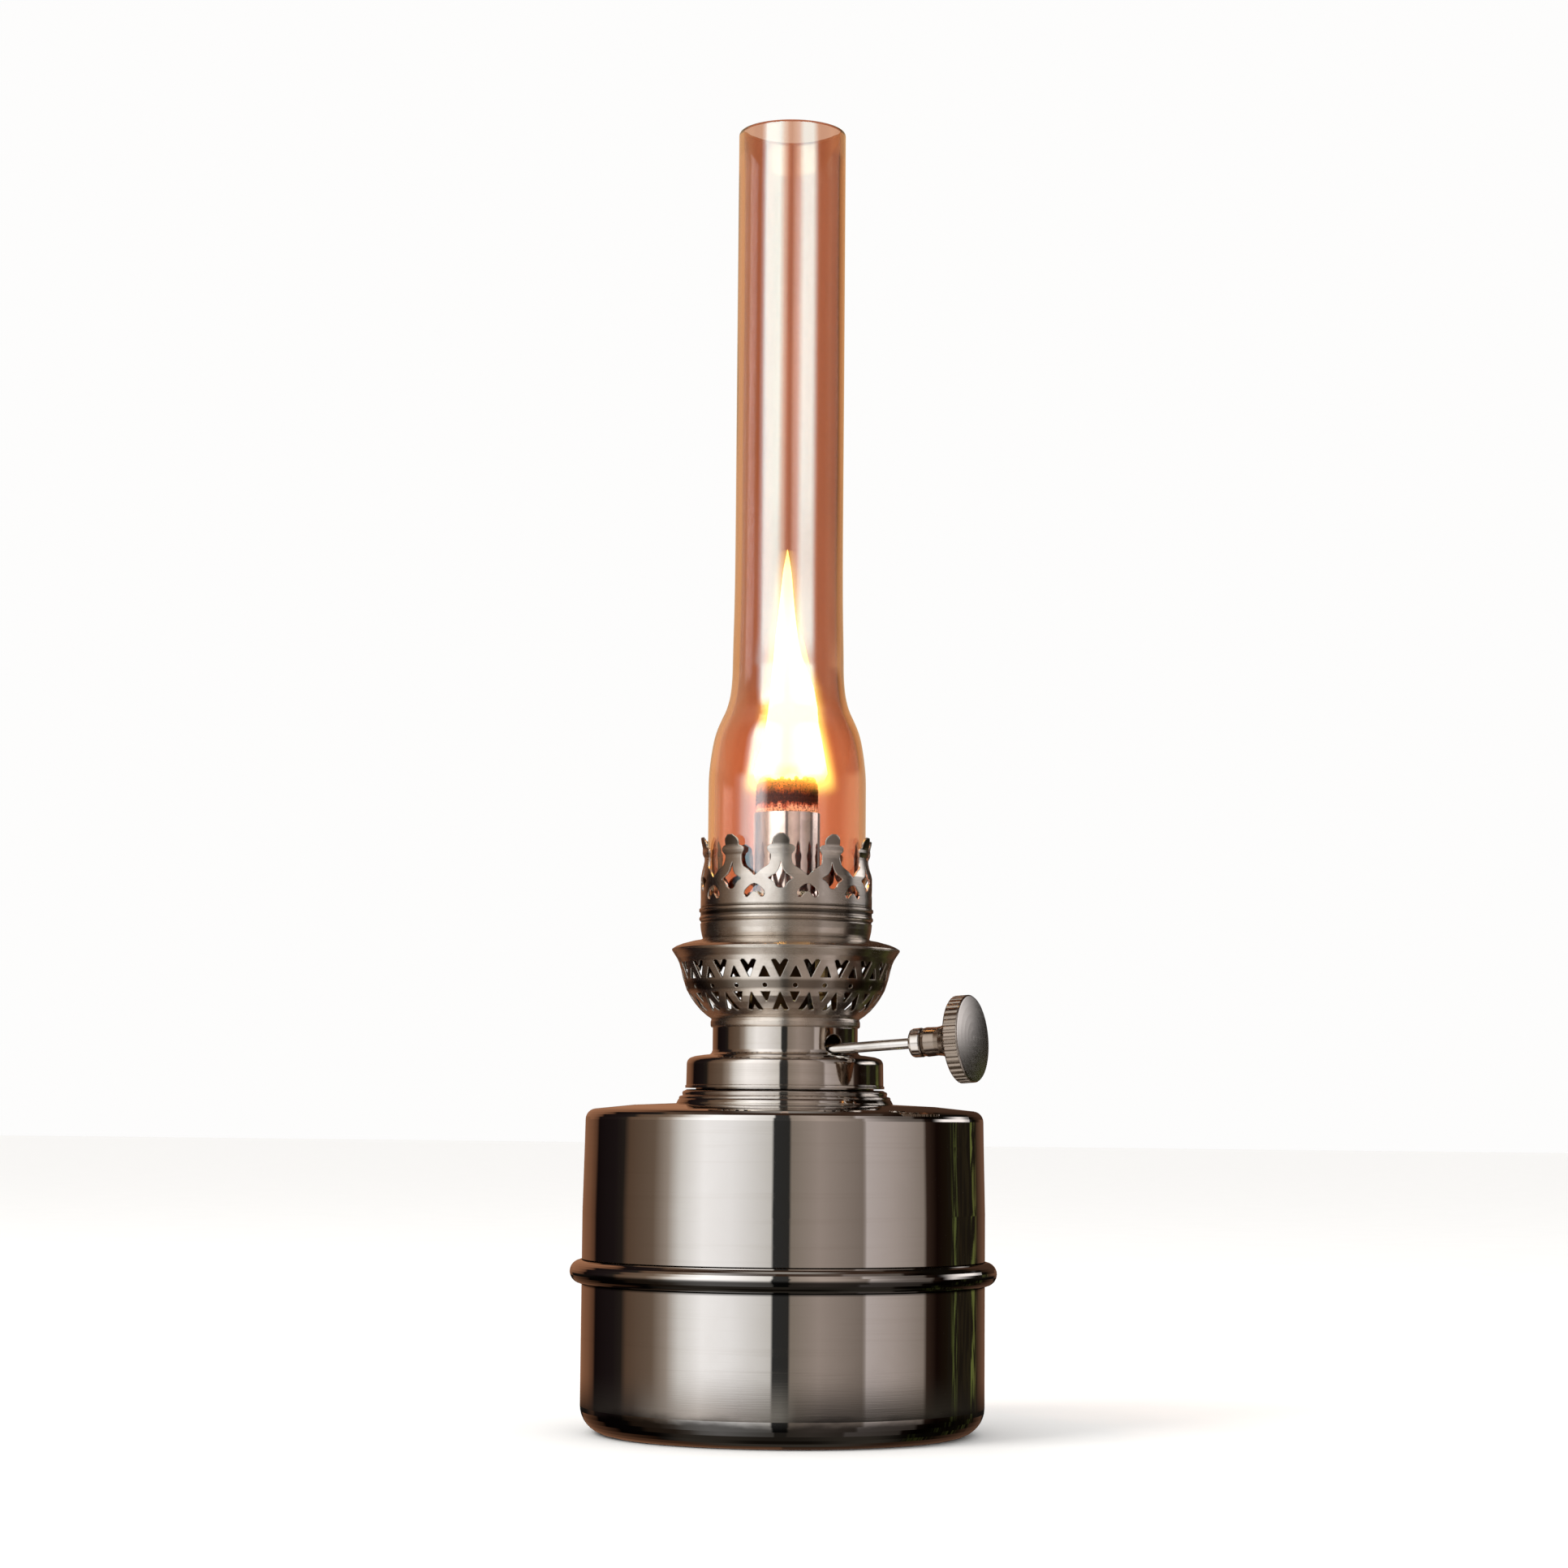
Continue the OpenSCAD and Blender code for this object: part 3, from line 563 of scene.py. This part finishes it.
def make_braid():
    """The knitted skin of the wick's top, from just under the tube's rim, over the top and inside."""
    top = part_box("wick")[1].z / MM
    tube_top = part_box("outer_wick_tube")[1].z / MM
    start = tube_top - 4
    outer_r, inner_r, loops, columns = 7.32, 5.05, 12, 44
    segments = columns * 6
    rows = []
    for z in np.linspace(start, top - 1.2, 54):
        rows.append((outer_r, z))
    for a in np.radians(np.linspace(8, 172, 16)):
        rows.append(((outer_r + inner_r) / 2 + (outer_r - inner_r) / 2 * math.cos(a),
                     top - 1.15 + 1.35 * math.sin(a)))
    for z in np.linspace(top - 1.2, start, 10):
        rows.append((inner_r, z))
    rng = np.random.default_rng(7)
    fray = rng.uniform(-1, 1, columns)

    def knit(points):
        x, y, z = points[..., 0], points[..., 1], points[..., 2]
        radius = np.hypot(x, y)
        turn = np.arctan2(y, x)
        column = turn / (2 * math.pi) * columns
        across = column - np.floor(column) - 0.5
        row = (z - start) / (top - start) * loops + 0.9 * np.abs(across)
        lobe = np.cos(2 * math.pi * row) * 0.5 + 0.5
        groove = 1 - np.exp(-(np.abs(np.abs(across) - 0.5) / 0.1) ** 2) * 0.9
        swell = 0.24 * lobe * groove
        rise = np.clip((z - (top - 2.5)) / 2.5, 0, 1)
        tuft = fray[np.floor(column).astype(int) % columns]
        outer = np.where(radius > 6.2, 1.0, 0.0)
        new = radius + outer * (swell - 0.45 * rise**2)
        points = points.copy()
        points[..., 0] = x / radius * new
        points[..., 1] = y / radius * new
        points[..., 2] = z + rise * (0.9 + 0.55 * tuft + 0.25 * lobe)
        return points

    braid = turned("wick_braid", rows, segments, wick_material("charred_cotton", tube_top, top), knit)
    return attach(braid, "wick")


# Flame: height, half width and offset to the camera's right, in millimetres, from foot to tip
FLAME = [
    (147.8, 9.0, 0.3), (149.3, 10.0, 0.4), (153.4, 10.1, 0.7), (157.4, 9.4, 0.8), (161.5, 8.4, 1.0),
    (165.6, 7.45, 1.1), (169.8, 6.7, 1.0), (173.9, 6.05, 1.0), (178.1, 5.45, 0.85), (182.1, 4.5, 0.35),
    (186.3, 3.5, -0.2), (190.4, 2.85, -0.4), (194.5, 2.36, -0.4), (198.7, 1.9, -0.4), (202.9, 1.47, -0.4),
    (207, 1.0, -0.4), (212, 0.03, -0.4)]
# The shorter tongue beside it
TONGUE = [
    (168, 3.2, 2.2), (176, 3.3, 2.4), (182.1, 2.8, 2.5), (186.3, 2.0, 2.5), (190, 1.2, 2.4),
    (193.5, 0.03, 2.3)]
GLOW_REACH = 3.4    # millimetres that the flame's glow reaches into the air
GLOW_STRENGTH = 260.0


def glow_material():
    """Air that glows in and round the flame, and fades away from it. Only its volume shows. It is
    yellow-green close to the flame, because it was matched to be seen through the tinted glass."""
    material, n, _, output = new_material("flame_glow_air")
    low, high = FLAME[0][0], FLAME[-1][0]
    share = n.span(n.height(), low, high, smooth=False)
    places = [(z - low) / (high - low) for z, _, _ in FLAME]
    # a ramp holds values from 0 to 1, so widths and offsets go in as shares of these millimetres
    widest = 12.0
    leftmost = -1.0
    sway = 4.0
    width = n.ramp(share, [(p, (w / widest,) * 3) for p, (_, w, _) in zip(places, FLAME)])
    lean = n.ramp(share, [(p, ((o - leftmost) / sway,) * 3) for p, (_, _, o) in zip(places, FLAME)])
    offset = n.math("MULTIPLY_ADD", lean, sway, leftmost)
    side = math.radians(CAMERA_AZIMUTH)
    parts = n.add("SeparateXYZ")
    n.join(n.add("TexCoord").outputs["Object"], parts.inputs[0])
    squares = []
    for axis, toward in ((0, math.cos(side)), (1, math.sin(side))):
        place = n.math("MULTIPLY", parts.outputs[axis], 1 / MM)
        place = n.math("SUBTRACT", place, n.math("MULTIPLY", offset, toward))
        squares.append(n.math("MULTIPLY", place, place))
    radius = n.math("SQRT", n.math("ADD", *squares))
    beyond = n.math("SUBTRACT", radius, n.math("MULTIPLY", width, widest))
    near = n.span(beyond, -0.3, GLOW_REACH, 1.0, 0.0)
    rise = n.span(n.height(), 151.5, 157.0)
    glow = n.add("Emission")
    n.join(n.ramp(near, [(0.0, (1.0, 0.75, 0.3)), (1.0, (0.6, 1.0, 0.26))]), glow.inputs["Color"])
    power = n.math("MULTIPLY", n.math("MULTIPLY", near, near), n.math("MULTIPLY", rise, GLOW_STRENGTH))
    n.join(power, glow.inputs["Strength"])
    n.join(glow.outputs[0], output.inputs["Volume"])
    n.join(n.add("BsdfTransparent").outputs[0], output.inputs["Surface"])
    material.cycles.volume_step_rate = 0.25
    return material


def flame_layer(name, rows, share, foot, material):
    """One skin of a flame, share times as wide as the whole, from a foot on the axis to the tip."""
    face = through([(w * share, z) for z, w, _ in rows if z > foot], 5)
    face[-1, 0] = 0
    base = [(0, foot), (face[0, 0] * 0.55, foot - 0.2), (face[0, 0] * 0.9, foot + 0.3)]
    side = math.radians(CAMERA_AZIMUTH)
    heights, _, offsets = zip(*rows)

    def lean(points):
        shift = np.interp(points[..., 2], heights, offsets)
        turn = np.arctan2(points[..., 1], points[..., 0])
        lick = 1 + 0.03 * np.sin(3 * turn + points[..., 2] * 0.11)
        points = points.copy()
        points[..., 0] = points[..., 0] * lick + shift * math.cos(side)
        points[..., 1] = points[..., 1] * lick + shift * math.sin(side)
        return points

    flame = turned(name, np.vstack([base, face]), 72, material, lean, poles=True)
    flame.visible_shadow = False
    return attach(flame, "burner")


def make_flame():
    """A bright core, a shorter tongue beside it, and the glowing air round both."""
    hot = [(154.5, (1.0, 0.6, 0.08)), (156, (1.0, 0.85, 0.22)), (160, (1.0, 0.92, 0.45)),
           (190, (1.0, 0.92, 0.6)), (206, (1.0, 0.84, 0.4)), (212, (1.0, 0.7, 0.2))]
    whole = [(154.5, 0.0), (155.3, 0.12), (156.6, 0.85), (158, 1.0), (206, 1.0), (212, 1.0)]
    flame_layer("flame_core", FLAME, 0.95, 154.6, flame_material("flame_core", hot, 8.0, whole))
    tongue = [(168, (1.0, 0.85, 0.3)), (194, (1.0, 0.75, 0.2))]
    thin = [(168, 0.6), (186, 0.45), (194, 0.2)]
    flame_layer("flame_tongue", TONGUE, 1.0, 168.5, flame_material("flame_tongue", tongue, 6.0, thin))
    spread = [(z, w + GLOW_REACH, o) for z, w, o in FLAME]
    flame_layer("flame_glow_air", spread, 1.0, 151.0, glow_material())


# ---------- stage ----------

def make_camera():
    """The photograph's viewpoint: a little above the table, tilted up and very slightly rolled."""
    azimuth, pitch, roll = (math.radians(a) for a in (CAMERA_AZIMUTH, CAMERA_PITCH, CAMERA_ROLL))
    outward = Vector((math.sin(azimuth), -math.cos(azimuth), 0))
    forward = -outward * math.cos(pitch) + Vector((0, 0, math.sin(pitch)))
    right = forward.cross(Vector((0, 0, 1))).normalized()
    up = right.cross(forward)
    across = right * math.cos(roll) + up * math.sin(roll)
    upward = up * math.cos(roll) - right * math.sin(roll)
    data = bpy.data.cameras.new("camera")
    data.sensor_width = 36
    data.lens = CAMERA_LENS
    data.shift_x = CAMERA_SHIFT
    data.clip_start = 0.01
    camera = bpy.data.objects.new("camera", data)
    bpy.context.scene.collection.objects.link(camera)
    turn = Matrix((across, upward, -forward)).transposed().to_4x4()
    place = outward * CAMERA_DISTANCE + Vector((0, 0, CAMERA_HEIGHT))
    camera.matrix_world = Matrix.Translation(place) @ turn
    bpy.context.scene.camera = camera


def make_world():
    """Pale all round for the eye and for soft light, with studio panels for what polished metal mirrors."""
    world = bpy.data.worlds.new("studio")
    bpy.context.scene.world = world
    world.use_nodes = True
    n = Nodes(world.node_tree)
    parts = n.add("SeparateXYZ")
    n.join(n.add("TexCoord").outputs["Generated"], parts.inputs[0])
    x, y, z = parts.outputs
    # the direction's azimuth, from the camera's own and towards the camera's right
    side = math.radians(CAMERA_AZIMUTH)
    sine, cosine = math.sin(side), math.cos(side)
    ahead = n.math("SUBTRACT", n.math("MULTIPLY", x, sine), n.math("MULTIPLY", y, cosine))
    aside = n.math("ADD", n.math("MULTIPLY", x, cosine), n.math("MULTIPLY", y, sine))
    turn = n.math("ARCTAN2", aside, ahead)
    around = n.math("ADD", n.math("DIVIDE", turn, 2 * math.pi), 0.5)
    climb = n.math("MULTIPLY", n.math("ARCSINE", z), 180 / math.pi)
    room = n.ramp(around, horizon(STUDIO))
    # a pale doorway that only a face tilted a little upwards mirrors, such as the knob's
    degrees = n.math("MULTIPLY", turn, 180 / math.pi)
    door = n.math("MULTIPLY", n.span(degrees, 94, 106), n.span(degrees, 124, 140, 1.0, 0.0))
    door = n.math("MULTIPLY", door, n.span(climb, 3.0, 6.5))
    door = n.math("MULTIPLY", door, n.span(climb, 17, 24, 1.0, 0.0))
    # the green streaks end a little above eye level, and dark leaves break them up
    where = n.add("CombineXYZ")
    n.join(degrees, where.inputs[0])
    n.join(n.math("MULTIPLY", climb, 3.0), where.inputs[1])
    leaves = n.span(n.noise(where.outputs[0], 0.45, 2.0), 0.45, 0.56, 1.0, 0.0)
    leaves = n.math("MAXIMUM", leaves, n.span(climb, 1.0, 3.0))
    leaves = n.math("MULTIPLY", leaves, n.span(degrees, 104, 110))
    leaves = n.math("MULTIPLY", leaves, n.span(degrees, 142, 148, 1.0, 0.0))
    room = n.mix(leaves, room, DARK_LEAVES)
    # higher up the room is brighter on the left and darker on the right
    gain = n.span(degrees, 25, 75, 1.3, 0.4)
    room = n.mix(n.span(climb, 2.2, 3.6), room, n.mix(1.0, room, gain, "MULTIPLY"))
    room = n.mix(door, room, DOORWAY)
    room = n.mix(n.span(climb, 46, 64), room, CEILING)
    room = n.mix(n.span(climb, 70, 84), room, OVERHEAD)
    # a narrow band of the table, then the room again, and the table close to the lamp further down
    near = n.math("MULTIPLY", n.span(climb, -4.9, -4.05, 1.0, 0.0), n.span(climb, -9.5, -7.0))
    room = n.mix(near, room, n.ramp(around, horizon(TABLE)))
    room = n.mix(n.span(climb, -62, -48, 1.0, 0.0), room, NEAR_TABLE)
    room = n.mix(n.span(climb, -82, -66, 1.0, 0.0), room, UNDERNEATH)
    bulb = n.ramp(around, horizon(BULB_STUDIO))
    tube = n.ramp(around, horizon(TUBE_STUDIO))
    glazed = n.mix(n.span(climb, 6.8, 10.5), bulb, tube)
    glazed = n.mix(n.span(climb, 30, 50), glazed, ABOVE_GLASS)
    glazed = n.mix(n.span(climb, -8, -4, 1.0, 0.0), glazed, BELOW_GLASS)
    glazed = n.mix(1.0, glazed, (WINDOW, WINDOW, WINDOW), "MULTIPLY")
    path = n.add("LightPath")
    # a ray that mirrors off metal inside the glass has crossed four faces of it by the time it gets out
    inside = n.math("GREATER_THAN", path.outputs["Transmission Depth"], 3.5)
    cooler = n.mix(1.0, n.mix(0.12, room, (0.6, 0.6, 0.6)), TINT_UNDONE, "MULTIPLY")
    glazed = n.mix(inside, glazed, cooler)
    room = n.mix(path.outputs["Is Singular Ray"], room, glazed)
    mirrored = n.math("GREATER_THAN", path.outputs["Glossy Depth"], 0.5)
    pale = n.mix(path.outputs["Is Diffuse Ray"], BACKGROUND, SOFT_LIGHT)
    light = n.add("Background")
    n.join(n.mix(mirrored, pale, room), light.inputs["Color"])
    n.join(light.outputs[0], n.add("OutputWorld").inputs["Surface"])
    world.cycles.sampling_method = "NONE"


def make_floor():
    material, n, shader, _ = new_material("pale_floor")
    grain = n.noise(n.place(), 30.0, 4.0, 0.6)
    n.join(n.mix(grain, (0.86, 0.855, 0.845), (0.9, 0.895, 0.885)), shader.inputs["Base Color"])
    shader.inputs["Roughness"].default_value = 0.9
    shader.inputs["Specular IOR Level"].default_value = 0.1
    reach = 9.0
    corners = [(-reach, -reach, 0), (reach, -reach, 0), (reach, reach, 0), (-reach, reach, 0)]
    floor = mesh_object("floor", corners, [(0, 1, 2, 3)], material)
    floor.visible_glossy = False


def make_lamp(name, kind, place, power, colour, size):
    data = bpy.data.lights.new(name, kind)
    data.energy = power
    data.color = colour
    if kind == "AREA":
        data.size = size
    else:
        data.shadow_soft_size = size
    lamp = bpy.data.objects.new(name, data)
    bpy.context.scene.collection.objects.link(lamp)
    lamp.location = place
    lamp.rotation_euler = (Vector((0, 0, 0.12)) - Vector(place)).to_track_quat("-Z", "Y").to_euler()
    return lamp


def make_lights():
    key = make_lamp("key", "AREA", (-0.55, -1.1, 1.1), 14.0, (1.0, 0.98, 0.95), 0.7)
    key.visible_glossy = False
    glow = make_lamp("flame_glow", "POINT", (0.001, 0, 0.168), 0.22, (1.0, 0.55, 0.2), 0.006)
    glow.visible_camera = False
    glow.visible_glossy = False
    glow.visible_transmission = False
    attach(glow, "burner")


# ---------- the lamp ----------

def dress():
    """Gives every CAD node its material and smooth faces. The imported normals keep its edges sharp."""
    bead_low, bead_high = (corner.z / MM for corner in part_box("support_bead"))
    # painted shade: the support bead's lower half is darkened, standing in for the dark table it mirrors
    bead_underside_shade = (bead_low - 0.5, (bead_low + bead_high) / 2, 0.1)
    font = plated("font_nickel", (0.78, 0.755, 0.73), (0.70, 0.665, 0.63), 0.02, 0.09, lines=0.004,
                  ripple=0.012, cloudy=0.25, lined=True, foot=(5.0, 8.5), dark=[bead_underside_shade])
    burner = plated("burner_nickel", (0.78, 0.74, 0.70), (0.64, 0.58, 0.52), 0.035, 0.14, lines=0.008,
                    ripple=0.01, recess=0.5, cloudy=0.4, edges=0.5, lined=True)
    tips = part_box("coronet")[1].z / MM
    basket = plated("basket_nickel", (0.86, 0.80, 0.73), (0.58, 0.50, 0.42), 0.19, 0.34, lines=0.04,
                    recess=0.8, edges=0.8, lined=True, dark=BASKET_SHADE_BANDS)
    # painted shade on the coronet's curled tips
    coronet = plated("coronet_nickel", (0.90, 0.86, 0.81), (0.68, 0.61, 0.54), 0.17, 0.32, lines=0.03,
                     recess=0.7, edges=0.7, lined=True, dark=[(tips - 2.6, tips + 1, 0.45)])
    tube = tube_material(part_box("gallery_floor")[1].z / MM)
    knob = plated("knob_nickel", (0.74, 0.72, 0.70), (0.68, 0.65, 0.62), 0.16, 0.26, lines=0.004, recess=0.9,
                  cloudy=0.3, edges=0.4, flank=(0.34, 0.28, 0.23))
    steel = plated("spindle_steel", (0.82, 0.8, 0.78), (0.6, 0.57, 0.53), 0.1, 0.24, lines=0.01)
    brass = brass_material()
    cotton = wick_material("cotton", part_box("outer_wick_tube")[1].z / MM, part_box("wick")[1].z / MM)
    glass = glass_material(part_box("chimney")[0].z / MM + SHOULDER)
    looks = {
        "font_nickel": font, "burner_nickel": burner, "basket_nickel": basket, "coronet_nickel": coronet,
        "tube_nickel": tube, "knob_nickel": knob, "spindle_steel": steel, "brass": brass,
        "washer": cork_material(), "wick": cotton, "glass": glass}
    slots = {row["node"]: row["material_slot"] for row in frame["record"]["subparts"]}
    for name, node in frame["nodes"].items():
        node.data.materials.clear()
        node.data.materials.append(looks[slots[name]])
        node.data.polygons.foreach_set("use_smooth", [True] * len(node.data.polygons))


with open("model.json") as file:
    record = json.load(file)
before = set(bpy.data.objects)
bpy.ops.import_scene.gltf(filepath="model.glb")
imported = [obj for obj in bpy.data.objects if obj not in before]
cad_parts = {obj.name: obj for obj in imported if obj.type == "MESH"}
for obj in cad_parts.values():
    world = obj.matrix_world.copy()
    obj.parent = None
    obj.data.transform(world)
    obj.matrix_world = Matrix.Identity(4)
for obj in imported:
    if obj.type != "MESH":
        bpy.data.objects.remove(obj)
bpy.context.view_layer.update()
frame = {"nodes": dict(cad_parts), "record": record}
bpy.context.scene.view_settings.view_transform = "Standard"
make_camera()
dress()
make_chimney()
make_braid()
make_flame()
make_world()
make_floor()
make_lights()
